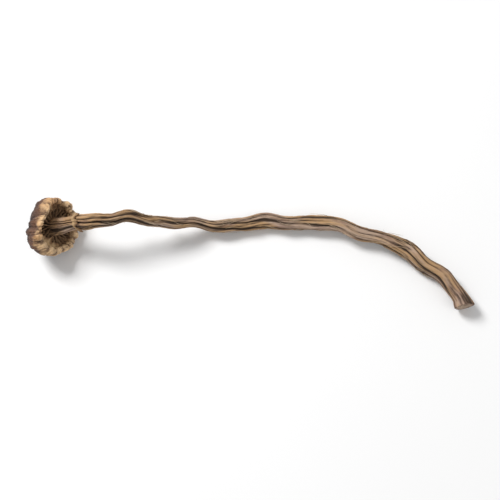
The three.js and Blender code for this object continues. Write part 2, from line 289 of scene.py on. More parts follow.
# Colour clouds of the gills, the veil and the floor
GILL_FIBRILS = Cloud((5.0, 0.9, 3.0), 4.0, 0.6)
VEIL_CLOUDS = Cloud(0.8, 4.0)
VEIL_FIBRILS = Cloud((3.6, 3.6, 0.5), 4.0, 0.62)
FLOOR_CLOUDS = Cloud(0.02, 2.0)
FLOOR_DIM = 0.985
SHEEN_LEVEL = 0.3

# Lights in metres and watts: name, place, size and power
LIGHTS = [("key", (-0.45, 0.35, 0.6), 0.3, 6.5), ("fill", (0.5, -0.4, 0.5), 0.6, 1.0)]
SURROUND = 0.42
FLOOR_HALF = 1.5

# Blender gives each kind of value its own sockets on a Mix node: two that go in and one that comes out
MIX_SOCKETS = {"FLOAT": (2, 3, 0), "VECTOR": (4, 5, 1), "RGBA": (6, 7, 2)}
INPUT_TYPES = {int: "NodeSocketInt", float: "NodeSocketFloat", bpy.types.Material: "NodeSocketMaterial"}


def is_vector(term):
    """True for a vector, linked or plain."""
    if isinstance(term, Field):
        return term.socket.type == "VECTOR"
    return isinstance(term, (tuple, Vector))


class Field:
    """A socket that takes part in arithmetic: each operation adds the node that works it out."""

    def __init__(self, socket):
        self.socket = socket
        self.graph = Graph(socket.id_data)

    def combine(self, operation, *terms):
        """The Math node of this name, or the Vector Math node where a term is a vector."""
        kind = "ShaderNodeVectorMath" if any(map(is_vector, terms)) else "ShaderNodeMath"
        return self.graph.node(kind, {"operation": operation}, dict(enumerate(terms)))

    def join(self, operation, *others):
        """The same, with this as its first term."""
        return self.combine(operation, self, *others)

    def __mul__(self, other):
        if is_vector(self) == is_vector(other):
            return self.join("MULTIPLY", other)
        vector, factor = (self, other) if is_vector(self) else (other, self)
        return self.graph.node("ShaderNodeVectorMath", {"operation": "SCALE"}, {0: vector, "Scale": factor})

    def __rsub__(self, other):
        return self.combine("SUBTRACT", other, self)

    def __rtruediv__(self, other):
        return self.combine("DIVIDE", other, self)

    def __neg__(self):
        return self * -1

    __rmul__ = __mul__
    __add__ = __radd__ = partialmethod(join, "ADD")
    __sub__ = partialmethod(join, "SUBTRACT")
    __truediv__ = partialmethod(join, "DIVIDE")
    __pow__ = partialmethod(join, "POWER")
    sin = partialmethod(join, "SINE")
    cos = partialmethod(join, "COSINE")
    exp = partialmethod(join, "EXPONENT")
    abs = partialmethod(join, "ABSOLUTE")
    floor = partialmethod(join, "FLOOR")
    least = partialmethod(join, "MINIMUM")
    most = partialmethod(join, "MAXIMUM")
    above = partialmethod(join, "GREATER_THAN")
    cross = partialmethod(join, "CROSS_PRODUCT")
    unit = partialmethod(join, "NORMALIZE")

    def rise(self, start, end):
        """0 up to the start, 1 from the end on, and an S between, whichever way the two lie."""
        settings = {"interpolation_type": "SMOOTHSTEP"}
        return self.graph.node("ShaderNodeMapRange", settings, {0: self, 1: start, 2: end})

    def parts(self):
        """The three numbers of a vector."""
        node = self.graph.node("ShaderNodeSeparateXYZ", {}, {0: self}).socket.node
        return [Field(socket) for socket in node.outputs]


class Graph:
    """Makes the nodes of one tree."""

    def __init__(self, tree):
        self.tree = tree

    def node(self, kind, settings=None, inputs=None, out=0):
        """One output of a new node, with its settings made first and then its sockets filled or linked.

        A node that has no output gives None.
        """
        made = self.tree.nodes.new(kind)
        for name, value in (settings or {}).items():
            setattr(made, name, value)
        for name, value in (inputs or {}).items():
            if isinstance(value, Field):
                self.tree.links.new(value.socket, made.inputs[name])
            elif value is not None:
                made.inputs[name].default_value = value
        return Field(made.outputs[out]) if made.outputs else None

    def vector(self, x, y, z=0.0):
        """Three numbers as one vector."""
        return self.node("ShaderNodeCombineXYZ", {}, {0: x, 1: y, 2: z})

    def mix(self, factor, low, high, kind="FLOAT"):
        """low where the factor is 0, high where it is 1."""
        first, second, out = MIX_SOCKETS[kind]
        return self.node("ShaderNodeMix", {"data_type": kind}, {0: factor, first: low, second: high}, out)

    def noise(self, vector, cloud):
        """The value of a cloud at a vector, from 0 to 1."""
        inputs = {"Vector": vector * cloud.run, "Scale": 1.0}
        inputs |= {"Detail": cloud.detail, "Roughness": cloud.roughness}
        return self.node("ShaderNodeTexNoise", {"noise_dimensions": "3D"}, inputs)


def ripple(waves, around=None, along=None):
    """Sum of a table of waves."""
    total = 0
    for size, turns, climbs, phase in waves:
        steps = [rate * field for rate, field in ((turns, around), (climbs, along)) if rate]
        total += size * (sum(steps) + phase).sin()
    return total


def within(span, place):
    """0 outside a span, 1 in its full stretch, and an S at either end of that."""
    start, full, fading, end = span
    return place.rise(start, full) * place.rise(end, fading)


def valley(phase):
    """From 0 on round ridges to 1 in a sharp valley at every whole turn of the phase."""
    return 1 - (phase * 0.5).sin().abs() ** RIDGE_ROUNDNESS


def crease(cloud, width):
    """1 along the lines where a cloud passes its middle value, falling to 0 at this width from them."""
    return 1 - ((cloud - 0.5).abs() / width).least(1.0)


def shaded(shades, *hollows):
    """How dark the hollows are painted, each by its own share: partly their own darker colour and partly
    painted shade.
    """
    return sum(share * hollow for share, hollow in zip(shades, hollows))


def smooth_path(places, count, open_ends):
    """A Catmull-Rom curve through places, read at count even steps, and its direction there.

    With open_ends the curve runs on past its ends, and otherwise it stops at them.
    """
    places = np.array(places, float)
    before = 2 * places[0] - places[1] if open_ends else places[0]
    after = 2 * places[-1] - places[-2] if open_ends else places[-1]
    held = np.vstack([before, places, after])
    at = np.linspace(0, len(places) - 1, count)
    start = np.minimum(at.astype(int), len(places) - 2)
    s = (at - start)[:, None]
    p0, p1, p2, p3 = (held[start + step] for step in range(4))
    into, out_of = (p2 - p0) / 2, (p3 - p1) / 2
    points = (2 * s**3 - 3 * s**2 + 1) * p1 + (s**3 - 2 * s**2 + s) * into
    points += (3 * s**2 - 2 * s**3) * p2 + (s**3 - s**2) * out_of
    slopes = (6 * s**2 - 6 * s) * (p1 - p2) + (3 * s**2 - 4 * s + 1) * into + (3 * s**2 - 2 * s) * out_of
    speed = np.linalg.norm(slopes, axis=1, keepdims=True)
    return points, slopes / np.maximum(speed, 1e-9)


def rail(name, points, **held):
    """A mesh of loose points that carry numbers or vectors, for a node tree to read."""
    mesh = bpy.data.meshes.new(name)
    mesh.from_pydata([tuple(p) for p in points], [], [])
    for word, values in held.items():
        values = np.array(values, np.float32)
        kind, key = ("FLOAT_VECTOR", "vector") if values.ndim == 2 else ("FLOAT", "value")
        mesh.attributes.new(word, kind, "POINT").data.foreach_set(key, values.ravel())
    return mesh


def stem_rail():
    """The stem's smooth middle line, with its direction and its mean radius."""
    middle, heading = smooth_path([place for place, _ in STEM], STEM_ROWS + 1, True)
    girth, _ = smooth_path([(radius,) for _, radius in STEM], STEM_ROWS + 1, True)
    return rail("stem_rail", middle, heading=heading, girth=girth[:, 0])


def cap_rail():
    """The cap's outline as radius and height, with its direction."""
    flat, slope = smooth_path(CAP_OUTLINE, CAP_ROWS + 1, False)
    points = [(r, 0, h) for r, h in flat]
    return rail("cap_rail", points, heading=[(r, 0, h) for r, h in slope])


def new_tree(name, sizes):
    """A geometry node tree with named inputs, and a field for each."""
    tree = bpy.data.node_groups.new(name, "GeometryNodeTree")
    tree.interface.new_socket("Geometry", in_out="INPUT", socket_type="NodeSocketGeometry")
    tree.interface.new_socket("Geometry", in_out="OUTPUT", socket_type="NodeSocketGeometry")
    for word, value in sizes.items():
        socket = tree.interface.new_socket(word, in_out="INPUT", socket_type=INPUT_TYPES[type(value)])
        if not isinstance(value, bpy.types.Material):
            socket.default_value = value
    graph = Graph(tree)
    entry = graph.node("NodeGroupInput").socket.node
    return graph, {socket.name: Field(socket) for socket in entry.outputs if socket.name}


def carried(graph, word, kind="FLOAT"):
    """What the points being worked on carry under this word, or their place."""
    if word == "position":
        return graph.node("GeometryNodeInputPosition")
    return graph.node("GeometryNodeInputNamedAttribute", {"data_type": kind}, {"Name": word})


def read_points(graph, points, word, index, kind="FLOAT_VECTOR"):
    """What the rail holds under this word, or its place, at one of its points."""
    settings = {"data_type": kind, "domain": "POINT", "clamp": True}
    inputs = {0: points, 1: carried(graph, word, kind), 2: index}
    return graph.node("GeometryNodeSampleIndex", settings, inputs)


def read_between(graph, points, word, share, kind="FLOAT_VECTOR"):
    """The same at any share of the stem's rail, from 0 to 1."""
    at = share * STEM_ROWS
    low = (at + SLIGHT).floor()
    ends = [read_points(graph, points, word, low + step, kind) for step in (0, 1)]
    return graph.mix((at - low).most(0.0), *ends, kind="VECTOR" if kind == "FLOAT_VECTOR" else "FLOAT")


def store(graph, geometry, domain="POINT", **values):
    """The geometry with each value written on it under its word."""
    for word, value in values.items():
        settings = {"data_type": "FLOAT_VECTOR" if is_vector(value) else "FLOAT", "domain": domain}
        geometry = graph.node("GeometryNodeStoreNamedAttribute", settings, {0: geometry, 2: word, 3: value})
    return geometry


def tube(graph, sides, rows):
    """A plain open tube, with its angle round and its row for each point."""
    settings = {"fill_type": "NONE"}
    inputs = {"Vertices": sides, "Side Segments": rows, "Radius": 1.0, "Depth": 1.0}
    plain = graph.node("GeometryNodeMeshCylinder", settings, inputs)
    x, y, z = carried(graph, "position").parts()
    return plain, y.join("ARCTAN2", x), ((z + 0.5) * rows + 0.5).floor()


def slab(graph, steps):
    """A plain unit block cut into steps each way, with its three shares from 0 to 1."""
    inputs = {0: (1, 1, 1), "Vertices X": steps[0], "Vertices Y": steps[1], "Vertices Z": steps[2]}
    plain = graph.node("GeometryNodeMeshCube", {}, inputs)
    return plain, [part + 0.5 for part in carried(graph, "position").parts()]


def copies(graph, plain, count):
    """This many copies of a plain form as one mesh, and the number of the copy that each point is in."""
    points = graph.node("GeometryNodeMeshLine", {}, {"Count": count, "Offset": (0, 0, 0)})
    placed = graph.node("GeometryNodeInstanceOnPoints", {}, {"Points": points, "Instance": plain})
    placed = store(graph, placed, "INSTANCE", copy=graph.node("GeometryNodeInputIndex"))
    return graph.node("GeometryNodeRealizeInstances", {}, {0: placed}), carried(graph, "copy")


def chances(graph, copy, seed, count):
    """This many random numbers from -1 to 1 for each copy."""
    for step in range(count):
        inputs = {"ID": copy, "Seed": seed + step, 2: -1.0, 3: 1.0}
        yield graph.node("FunctionNodeRandomValue", {"data_type": "FLOAT"}, inputs, 1)


def close_tree(graph, geometry, place, material, inner=None, faces=None):
    """Moves the points, welds the seams, smooths the faces and gives them their material.

    A place that would go through the floor is pressed flat on it. An inner material is for some faces only.
    """
    x, y, z = place.parts()
    pressed = graph.vector(x, y, z.most(0.0)) * MM
    geometry = graph.node("GeometryNodeSetPosition", {}, {0: geometry, 2: pressed})
    geometry = graph.node("GeometryNodeMergeByDistance", {}, {0: geometry, "Distance": WELD})
    geometry = graph.node("GeometryNodeSetShadeSmooth", {}, {0: geometry})
    geometry = graph.node("GeometryNodeRealizeInstances", {}, {0: geometry})
    geometry = graph.node("GeometryNodeSetMaterial", {}, {0: geometry, 2: material})
    if inner is not None:
        geometry = graph.node("GeometryNodeSetMaterial", {}, {0: geometry, 1: faces, 2: inner})
    graph.node("NodeGroupOutput", {}, {0: geometry})
    return graph.tree


def stem_frame(graph, points, t):
    """The middle of the stem at t with its small crooks, and the directions along, across and over it."""
    along = read_between(graph, points, "heading", t).unit()
    across = along.combine("CROSS_PRODUCT", UP, along).unit()
    over = along.cross(across)
    crook = CROOK * t.rise(*STRAIGHT_START)
    sway = crook * ripple(CROOKS_SIDEWAYS, along=t)
    lift = crook * ripple(CROOKS_UPWARDS, along=t)
    middle = read_between(graph, points, "position", t) + across * sway + over * lift
    return middle, along, across, over


def stem_angle(given, t, u):
    """Pleat angle u as the true angle round the stem, with pleats of uneven width that twist along it."""
    return u + ripple(PLEAT_WIDTHS, u, t) + given["Twist"] * t


def stem_place(graph, given, t, angle, reach, push=0.0):
    """A place this far from the stem's middle, pushed along it."""
    middle, along, across, over = stem_frame(graph, given["Geometry"], t)
    return middle + across * (reach * angle.cos()) + over * (reach * angle.sin()) + along * push


def stem_folds(t, u):
    """How deep the stem has folded in, from 0 on a ridge to more than 1 in the deepest pleats."""
    return (1 + ripple(PLEAT_DEPTHS, u, t)) * valley(PLEATS * u)


def stem_pleats(given, t, folds):
    """The depth of the long pleats, which are shallower on the tough base."""
    return given["Pleat Depth"] * (1 - PLEAT_FADE * t.rise(*TOUGH_BASE)) * folds


def stem_reach(graph, given, t, u, folded):
    """How far the stem's skin is from its middle, once folded in by this depth and flattened."""
    mean = read_between(graph, given["Geometry"], "girth", t, "FLOAT")
    full = mean * (1 + ripple(STEM_SWELLS, along=t)) + STEM_FULLNESS
    flatness = given["Flatness"] * (1 + ripple(FLATNESS_CHANGE, along=t))
    turned = stem_angle(given, t, u) - FLATNESS_TURN * t
    return (full - folded) * (1 + flatness * (2 * turned).cos())


def stem_skin(graph, given, t, u):
    """How far the stem's skin is from its middle, its place on the band and how dark its hollows are
    painted, partly as painted shade.
    """
    angle = stem_angle(given, t, u)
    skin = graph.vector(SKIN_RADIUS * angle.cos(), SKIN_RADIUS * angle.sin(), STEM_LENGTH * t)
    folds = stem_folds(t, u)
    creases = crease(graph.noise(skin, STEM_CREASES), CREASE_WIDTH)
    fine = crease(graph.noise(skin, STEM_FINE_CREASES), FINE_CREASE_WIDTH)
    folded = stem_pleats(given, t, folds)
    folded = folded + given["Crease Depth"] * creases + given["Fine Crease Depth"] * fine
    folded = folded + STEM_ROUGH_DEPTH * graph.noise(skin, STEM_ROUGHNESS)
    return stem_reach(graph, given, t, u, folded), skin, shaded(STEM_SHADES, folds, creases, fine)


def stem_tree(sizes):
    """The pleated, twisted stem with its dished cut base."""
    graph, given = new_tree("Pleated stem", sizes)
    geometry, u, row = tube(graph, given["Sides"], STEM_ROWS + DISH_ROWS)
    t = row.least(STEM_ROWS) / STEM_ROWS
    dish = (row - STEM_ROWS).most(0.0) / DISH_ROWS
    share = row.least(1.0) * (1 - dish)
    angle = stem_angle(given, t, u)
    skin_reach, skin, groove = stem_skin(graph, given, t, u)
    reach = share * skin_reach
    flat = graph.vector(reach * angle.cos(), reach * angle.sin())
    torn = DISH_TEAR_DEPTH * (graph.noise(flat, DISH_TEARS) - 0.5)
    torn = torn - DISH_CRACK_DEPTH * crease(graph.noise(flat, DISH_CRACKS), CREASE_WIDTH)
    lean = given["Cut Slant"] * t.rise(*CUT_LEAN) * share * angle.cos()
    sunk = given["Cut Dish"] * (dish.rise(*DISH_SLOPE) + DISH_MIDDLE * dish.rise(*DISH_MIDDLE_SLOPE))
    push = lean - sunk + torn * within(DISH_TORN, dish)
    place = stem_place(graph, given, t, angle, reach, push)
    geometry = store(graph, geometry, groove=groove, skin=skin, place=t, cut=dish)
    inside = carried(graph, "cut").above(SLIGHT)
    return close_tree(graph, geometry, place, given["Skin"], given["Pith"], inside)


def fibre_tree(sizes):
    """Thin fibres along the stem, half of them pointing each way."""
    graph, given = new_tree("Loose fibres", sizes)
    plain, (x, y, z) = slab(graph, FIBRE_STEPS)
    geometry, copy = copies(graph, plain, given["Count"])
    start, around, longer, lean, higher = chances(graph, copy, given["Seed"], 5)
    way = (copy * math.pi).cos()
    stretch, lift = (graph.mix(0.5 + 0.5 * chance, FIBRE_SHORTEST, 1.0) for chance in (longer, higher))
    t = FIBRE_MIDDLE + FIBRE_SPREAD * start + way * stretch * given["Length"] / STEM_LENGTH * x
    ridge = (around * PLEATS / 2).floor() + 0.5 + FIBRE_OFF_RIDGE * lean
    u = ridge * (math.tau / PLEATS) + FIBRE_DRIFT * lean * x * x
    stout = graph.mix(x.rise(0.0, FIBRE_ROOT[1]), FIBRE_ROOT[0], 1.0)
    thick = given["Thickness"] * (1 - FIBRE_TAPER * x) * stout
    rooted, skin, _ = stem_skin(graph, given, t, u)
    bridging = stem_reach(graph, given, t, u, stem_pleats(given, t, stem_folds(t, u)))
    laid = graph.mix(x.rise(0.0, FIBRE_FREE), rooted - FIBRE_SINK, bridging)
    reach = laid + given["Lift"] * lift * x * x + (z - 0.5) * thick
    angle = stem_angle(given, t, u)
    middle, _, across, over = stem_frame(graph, given["Geometry"], t)
    out, aside = across * angle.cos() + over * angle.sin(), across * angle.sin() - over * angle.cos()
    place = middle + out * reach + aside * (way * (y - 0.5) * thick)
    geometry = store(graph, geometry, skin=skin, place=x)
    return close_tree(graph, geometry, place, given["Flesh"])


def cap_place(radius, angle, height):
    """A place in the cap's own frame, on the shrunken, uneven cap."""
    facing = Vector(CAP_FACES).normalized()
    side = Vector(UP).cross(facing).normalized()
    up = facing.cross(side)
    edge = radius / CAP_RADIUS
    reach = radius * (1 + edge * ripple(CAP_OVAL, angle))
    drop = height + edge * edge * ripple(CAP_WARP, angle)
    return (reach * angle.cos()) * side + (reach * angle.sin()) * up - drop * facing + CAP_CENTRE


def cap_furrows(v, angle):
    """Long furrows on the flanks of the cap, at v along its outline."""
    uneven = FURROW_FULLNESS + ripple(FURROW_DEPTHS, angle)
    return within(FURROW_SPAN, v) * uneven * valley(FURROWS * angle + ripple(FURROW_WANDER, angle, v))


def margin_pleats(v, angle):
    """Short pleats across the rolled margin."""
    phase = MARGIN_PLEATS * angle + ripple(MARGIN_PLEAT_WANDER, angle, v)
    return within(MARGIN_PLEAT_SPAN, v) * valley(phase)


def crown_wrinkles(v, angle):
    """Crossed wrinkles on the crown."""
    wander = ripple(CROWN_WRINKLE_WANDER, v * angle.sin()) + CROWN_WRINKLE_PHASE
    return v.rise(*reversed(CROWN_WRINKLE_FADE)) * valley(CROWN_WRINKLES_ACROSS * v * angle.cos() + wander)


def cap_dents(v, angle):
    """Hollows where the dome has fallen in, in mm."""
    hollows = 0
    for middle, place, depth in DENTS:
        turn = ((angle - middle) * 0.5).sin() / DENT_WIDTH
        slide = (v - place) / DENT_LENGTH
        hollows += depth * (-(turn * turn + slide * slide)).exp()
    return hollows * v.rise(*DENT_START)


def cap_tree(sizes):
    """The furrowed cap, rolled over at its margin, with the plate that the gills hang from."""
    graph, given = new_tree("Furrowed cap", sizes)
    geometry, angle, row = tube(graph, given["Sides"], CAP_ROWS)
    v = row / CAP_ROWS
    r, _, h = read_points(graph, given["Geometry"], "position", row).parts()
    slope_r, _, slope_h = read_points(graph, given["Geometry"], "heading", row).parts()
    turn = graph.vector(angle.cos(), angle.sin())
    spokes = (turn + graph.vector(0.0, 0.0, v)) * CAP_SPOKES
    skin = turn * r + graph.vector(0.0, 0.0, h)
    calm = 1 - MARGIN_CALM * v.rise(*MARGIN_START)
    furrows, pleats, wrinkles = cap_furrows(v, angle), margin_pleats(v, angle), crown_wrinkles(v, angle)
    creases = calm * v.rise(*CREASE_START) * crease(graph.noise(spokes, CAP_CREASES), CREASE_WIDTH)
    crazing = calm * crease(graph.noise(skin, CAP_CRAZING), CRAZING_WIDTH)
    radial = v.rise(*CREASE_START) * crease(graph.noise(spokes, CAP_FINE_CREASES), CRAZING_WIDTH)
    folds = given["Furrow Depth"] * furrows + given["Pleat Depth"] * pleats
    folds = folds + given["Wrinkle Depth"] * wrinkles + cap_dents(v, angle)
    fine = given["Crease Depth"] * creases + given["Crazing Depth"] * crazing
    fine = fine + given["Fine Crease Depth"] * radial + CAP_GRAIN_DEPTH * graph.noise(skin, CAP_GRAIN)
    sunk = folds + fine * v.rise(*reversed(CAP_INSIDE))
    place = cap_place(r + slope_h * sunk * (r / CAP_POLE).least(1.0), angle, h - slope_r * sunk)
    # Painted shade in the cap's hollows, together with their own darker colour
    groove = shaded(CAP_SHADES, furrows, pleats, wrinkles, creases, crazing, radial)
    geometry = store(graph, geometry, groove=groove, skin=spokes, place=v)
    return close_tree(graph, geometry, place, given["Skin"])


def gill_tree(sizes):
    """Thin blades in three lengths, hung from the plate and swaying a little."""
    graph, given = new_tree("Hanging gills", sizes)
    plain, (x, y, free) = slab(graph, GILL_STEPS)
    geometry, copy = copies(graph, plain, given["Count"])
    longer, turn, lean = chances(graph, copy, given["Seed"], 3)
    inner = GILL_INNER + ripple(GILL_LENGTHS, copy) + GILL_LENGTH_CHANCE * longer
    radius = graph.mix(x, inner, GILL_OUTER)
    angle = (copy + GILL_TURN_CHANCE * turn) / given["Count"] * math.tau
    sway = GILL_SWAY * lean * (GILL_BEND * x).sin() + free * ripple(GILL_RIPPLES, radius, copy)
    drift = sway + (y - 0.5) * given["Thickness"] * (1 - GILL_TAPER * free)
    rise = GILL_RISE * (1 - x) ** 2 + GILL_SHORT_RISE * (inner - GILL_LONGEST) * (1 - x) ** 3
    nicks = GILL_NICK_DEPTH * (graph.noise(graph.vector(radius, copy), GILL_NICKS) - 0.5)
    edge = GILL_EDGE + rise + ripple(GILL_EDGE_WAVES, radius, copy) + nicks
    height = graph.mix(free, GILL_ROOT, edge)
    place = cap_place(radius, angle + drift / radius, height)
    geometry = store(graph, geometry, place=free, shade=longer, skin=graph.vector(radius, height, copy))
    return close_tree(graph, geometry, place, given["Flesh"])


def veil_tree(sizes):
    """Ragged flaps that hang in from the rolled margin."""
    graph, given = new_tree("Torn veil", sizes)
    plain, (x, y, z) = slab(graph, VEIL_STEPS)
    inputs = {"Points": given["Geometry"], "Instance": plain}
    placed = graph.node("GeometryNodeInstanceOnPoints", {}, inputs)
    geometry = graph.node("GeometryNodeRealizeInstances", {}, {0: placed})
    start, end, reach = (carried(graph, word) for word in ("start", "end", "reach"))
    angle = graph.mix(x, end, start)
    whole = (x * math.pi).sin().most(0.0) ** 0.5
    turn = graph.vector(angle.cos(), angle.sin()) * VEIL_OUTER
    shreds = VEIL_SHRED_LENGTH * (graph.noise(turn, VEIL_SHREDS) - 0.5)
    hang = VEIL_ROOT + reach * whole * (VEIL_FULLNESS + ripple(VEIL_TEARS, angle) + shreds)
    across, down = VEIL_CRUMPLE_RUN
    crumple = graph.noise(graph.vector(angle * across, y * down), VEIL_CRUMPLES) - 0.5
    sag = y * (ripple(VEIL_SAG, angle) + VEIL_CRUMPLE_DEPTH * crumple)
    middle = VEIL_HEIGHT + VEIL_ARCH * y * (1 - y) + VEIL_LIFT * y * y + sag
    thick = graph.mix(y, given["Root Thickness"], given["Edge Thickness"])
    place = cap_place(VEIL_OUTER - hang * y, angle, middle + thick * z)
    geometry = store(graph, geometry, place=y, skin=turn + graph.vector(0.0, 0.0, hang * y))
    return close_tree(graph, geometry, place, given["Flesh"])


def ring_tree(sizes):
    """A frilled cuff that hugs the stem and is sunk into it along its upper edge."""
    graph, given = new_tree("Shrunken ring", sizes)
    geometry, u, row = tube(graph, RING_SIDES, RING_ROWS)
    s = row * (math.tau / RING_ROWS)
    share = 0.5 - 0.5 * s.cos()
    turn = graph.vector(u.cos(), u.sin()) * RING_BAND
    frill = 1 + ripple(RING_FRILL, u)
    tears = RING_TEAR_LENGTH * share * (graph.noise(turn, RING_TEARS) - 0.5)
    crimps = graph.noise(turn + graph.vector(0.0, 0.0, share), RING_CRIMPS) - 0.5
    t = RING_AT + RING_LENGTH * share * (frill + tears)
    folded = RING_FOLDING * stem_pleats(given, t, stem_folds(t, u))
    lift = RING_THICKNESS * s.sin() + RING_LIFT - RING_ROOT * (1 - share) ** 2
    lift = lift + RING_CRIMP_DEPTH * share * crimps
    reach = stem_reach(graph, given, t, u, folded) + lift + given["Ring Flare"] * share * share * frill
    place = stem_place(graph, given, t, stem_angle(given, t, u), reach)
    geometry = store(graph, geometry, place=share, skin=turn + graph.vector(0.0, 0.0, share * RING_BAND))
    return close_tree(graph, geometry, place, given["Flesh"])


def add(name, data):
    """A new object in the scene."""
    made = bpy.data.objects.new(name, data)
    bpy.context.scene.collection.objects.link(made)
    return made


def grow(name, mesh, tree, sizes):
    """Runs a tree on a mesh, keeps the result as a plain mesh and fixes it to the body."""
    piece = add(name, mesh)
    modifier = piece.modifiers.new(name, "NODES")
    modifier.node_group = tree
    for item in tree.interface.items_tree:
        if item.in_out == "INPUT" and item.name in sizes:
            modifier[item.identifier] = sizes[item.name]
    depsgraph = bpy.context.evaluated_depsgraph_get()
    made = bpy.data.meshes.new_from_object(
        piece.evaluated_get(depsgraph), preserve_all_data_layers=True, depsgraph=depsgraph
    )
    if not made.polygons:
        raise RuntimeError(f"{name} came out empty")
    for index in reversed(range(len(made.materials))):
        if made.materials[index] is None:
            made.materials.pop(index=index)
    piece.modifiers.remove(modifier)
    piece.data = made
    made.name = name
    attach(piece, BODY)
    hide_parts(SOLID)
    return piece


def new_material(name):
    """An empty material and its graph."""
    material = bpy.data.materials.new(name)
    material.use_nodes = True
    material.node_tree.nodes.clear()
    return material, Graph(material.node_tree)


def coated(material, ground, coats, roughness, height=None, depth=0.0):
    """The material with one shader: a ground colour under coats, and a bump where its height is given.

    Each coat is a colour, the field that it follows, where it starts and is full on that, and its strength.
    """
    graph = Graph(material.node_tree)
    tone = colour(ground)
    for paint, field, start, full, strength in coats:
        tone = graph.mix(field.rise(start, full) * strength, tone, colour(paint), "RGBA")
    inputs = {"Base Color": tone, "Roughness": roughness, "Specular IOR Level": SHEEN_LEVEL}
    if height is not None:
        bump = {"Height": height, "Strength": 1.0, "Distance": depth * MM}
        inputs["Normal"] = graph.node("ShaderNodeBump", {}, bump)
    shader = graph.node("ShaderNodeBsdfPrincipled", {}, inputs)
    graph.node("ShaderNodeOutputMaterial", {}, {"Surface": shader})
    return material


def attribute(graph, word, out="Fac"):
    """A value that the piece's mesh carries."""
    return graph.node("ShaderNodeAttribute", {"attribute_name": word}, {}, out)


def skin_place(graph):
    """The place on the piece's own skin."""
    return attribute(graph, "skin", "Vector")


def object_place(graph):
    """The place on the object, in mm."""
    return graph.node("ShaderNodeTexCoord", {}, {}, "Object") * (1 / MM)


def colour(values):
    """A colour for a socket, with its alpha."""
    return (*values[:3], 1.0)


def stem_material(skin):
    """Dried rind: pale and golden ridges, grooves darkened partly in their own colour and partly by painted
    shade, long fibres and purple-brown stains.
    """
    material, graph = new_material("dried_stem_rind")
    groove, t, along = attribute(graph, "groove"), attribute(graph, "place"), skin_place(graph)
    fibres, streaks = graph.noise(along, RIND_FIBRES), graph.noise(along, RIND_STREAKS)
    stains = graph.noise(along, RIND_STAINS)
    patches = graph.noise(along + RIND_PATCHES_START, RIND_PATCHES)
    ends = sum(share * t.rise(start, full) for share, start, full in RIND_ENDS)
    coats = [
        (skin.gold, patches, 0.4, 0.62, 1.0),
        (skin.light, fibres, 0.53, 0.74, 0.55),
        (skin.stain, stains, 0.48, 0.7, 0.65),
        (skin.stain, streaks, 0.35, 0.6, ends),
        # Painted shade, with the grooves' own darker colour, in the pleats and creases, and the same dark
        # in the lines between fibres
        (skin.groove, groove + 0.8 * (streaks - 0.5), 0.15, 0.75, 1.0),
        (skin.groove, fibres, 0.46, 0.3, 0.45),
    ]
    return coated(material, skin.ridge, coats, roughness=0.6 + 0.25 * streaks, height=fibres, depth=0.14)


def pith_material(skin):
    """The cut base: pale torn pith inside a brown rind."""
    material, graph = new_material("cut_pith")
    cut, place = attribute(graph, "cut"), object_place(graph)
    fibres, clouds = graph.noise(place, PITH_FIBRES), graph.noise(place, PITH_CLOUDS)
    coats = [
        (skin.ridge, fibres, 0.3, 0.6, 1.0),
        (skin.light, clouds, 0.35, 0.6, 0.75),
        (skin.stain, cut + 0.3 * (fibres - 0.5), 0.2, 0.02, 0.8),
        (skin.groove, cut + 0.5 * (fibres - 0.5), 0.7, 1.0, 0.8),
    ]
    return coated(material, skin.stain, coats, roughness=0.9, height=fibres, depth=0.12)


def fibre_material(flesh):
    """Loose fibres, paler towards the tip, with the stem's own streaks."""
    material, graph = new_material("loose_fibres")
    streaks = graph.noise(skin_place(graph), RIND_FIBRES)
    coats = [(flesh.tip, attribute(graph, "place"), 0.1, 0.9, 1.0), (flesh.root, streaks, 0.5, 0.3, 0.7)]
    return coated(material, flesh.root, coats, roughness=0.7, height=streaks, depth=0.05)


def cap_material(skin):
    """Cap skin: dark crown, russet flanks, golden rolled margin with a pale inner lip that is partly a
    painted highlight, painted shade in the furrows and creases, and a brown plate inside.
    """
    material, graph = new_material("dried_cap_skin")
    groove, v = attribute(graph, "groove"), attribute(graph, "place")
    spokes, place = skin_place(graph), object_place(graph)
    clouds, pores = graph.noise(place, CAP_CLOUDS), graph.noise(place, CAP_PORES)
    streaks = graph.noise(spokes, CAP_STREAKS)
    russet = graph.noise(spokes + CAP_RUSSET_START, CAP_RUSSET)
    edge = v + 0.3 * (clouds - 0.5) + 0.1 * (streaks - 0.5)
    outside = v.rise(*CROWN_MIDDLE)
    coats = [
        (skin.flank, edge, 0.12, 0.3, 1.0),
        (skin.margin, edge, 0.27, 0.42, 1.0),
        # The margin's inner lip: paler veil remains, partly a painted highlight
        (skin.pale_lip_and_highlight, edge, 0.4, 0.5, 0.5),
        (skin.russet, russet, 0.45, 0.65, 0.6 * edge.rise(0.25, 0.35)),
        (skin.flank, streaks, 0.53, 0.7, 0.4 * outside),
        (skin.plate, v, 0.6, 0.7, 1.0),
        # Painted shade in the hollows: warm brown on the margin, and the furrows' dark brown all over
        (skin.flank, groove, 0.28, 0.9, 0.62 * edge.rise(0.25, 0.4)),
        (skin.dark_furrow_and_shade, groove, 0.55, 1.3, 0.85),
        (skin.flank, pores, 0.46, 0.28, 0.42),
    ]
    height = 0.8 * streaks * outside + 0.7 * pores
    return coated(material, skin.crown, coats, roughness=0.4 + 0.3 * pores, height=height, depth=0.18)


def gill_material(flesh):
    """Brown gills, paler along their free edges."""
    material, graph = new_material("dried_gills")
    free, shade = attribute(graph, "place"), attribute(graph, "shade")
    fibrils = graph.noise(skin_place(graph), GILL_FIBRILS)
    coats = [
        (flesh.edge, free + 0.5 * (fibrils - 0.5), 0.3, 1.0, 1.0),
        (flesh.root, 0.5 * shade + fibrils, 0.3, 1.0, 0.6),
    ]
    return coated(material, flesh.root, coats, roughness=0.8, height=fibrils, depth=0.12)


